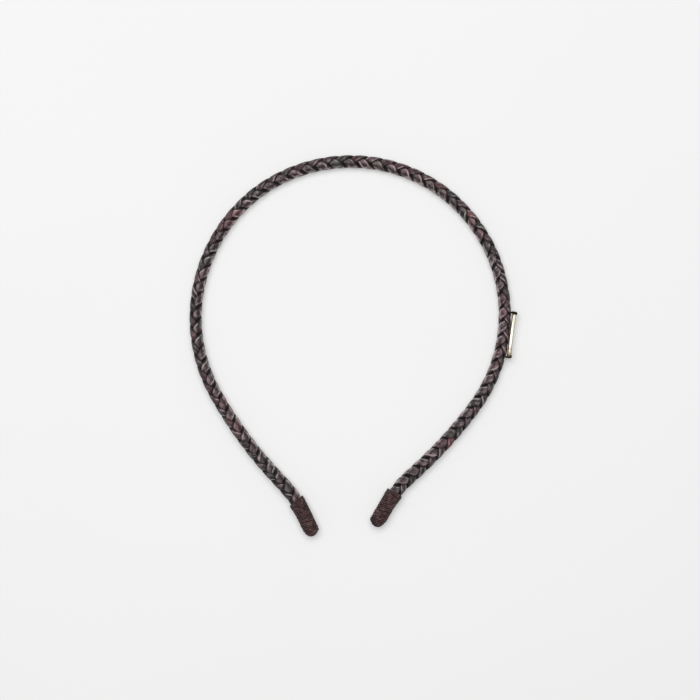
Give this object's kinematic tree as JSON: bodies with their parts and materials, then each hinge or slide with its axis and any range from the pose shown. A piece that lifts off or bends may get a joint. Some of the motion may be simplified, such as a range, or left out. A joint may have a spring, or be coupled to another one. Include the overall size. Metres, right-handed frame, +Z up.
{
  "type": "headband",
  "caption": "Slim horseshoe hair band: round braided leather over a spring wire, with thread-bound tips and a small plain metal plate on one arm.",
  "frame": {"origin": "middle of the bounding box's bottom face, on the surface the band lies on", "axes": "+Y towards the crown, +X towards the arm with the plate, +Z up out of the plane the band lies in"},
  "size_m": [0.1309, 0.1524, 0.007],
  "materials": {
    "plum_leather": "satin, dark plum brown, hand stained",
    "black_leather": "satin, cool grey-black, hand stained",
    "waxed_thread": "waxed dark brown thread, wound side by side",
    "spring_steel": "drawn spring wire",
    "cap_plastic": "matt black",
    "pale_gold": "polished pale gold"
  },
  "bodies": {
    "crown": {"lace_right_hand_1_crown": "plum_leather", "lace_left_hand_1_crown": "black_leather", "lace_right_hand_2_crown": "plum_leather", "lace_left_hand_2_crown": "black_leather", "lace_right_hand_3_crown": "plum_leather", "lace_left_hand_3_crown": "black_leather", "spring_wire_crown": "spring_steel"},
    "left_arm": {"lace_right_hand_1_left": "plum_leather", "lace_left_hand_1_left": "black_leather", "lace_right_hand_2_left": "plum_leather", "lace_left_hand_2_left": "black_leather", "lace_right_hand_3_left": "plum_leather", "lace_left_hand_3_left": "black_leather", "spring_wire_left": "spring_steel", "end_cap_left": "cap_plastic", "thread_binding_left": "waxed_thread"},
    "right_arm": {"lace_right_hand_1_right": "plum_leather", "lace_left_hand_1_right": "black_leather", "lace_right_hand_2_right": "plum_leather", "lace_left_hand_2_right": "black_leather", "lace_right_hand_3_right": "plum_leather", "lace_left_hand_3_right": "black_leather", "spring_wire_right": "spring_steel", "end_cap_right": "cap_plastic", "thread_binding_right": "waxed_thread", "side_plate": "pale_gold"}
  },
  "joints": [
    {"name": "left_arm_opening", "type": "hinge", "parent": "crown", "child": "left_arm", "pos_m": [-0.04147, 0.05852, 0.00264], "axis": [0, 0, -1], "range_deg": [0, 20], "stiffness_Nm_per_rad": 0.42},
    {"name": "right_arm_opening", "type": "hinge", "parent": "crown", "child": "right_arm", "pos_m": [0.04132, 0.05711, 0.00265], "axis": [0, 0, 1], "range_deg": [0, 20], "stiffness_Nm_per_rad": 0.42}
  ]
}
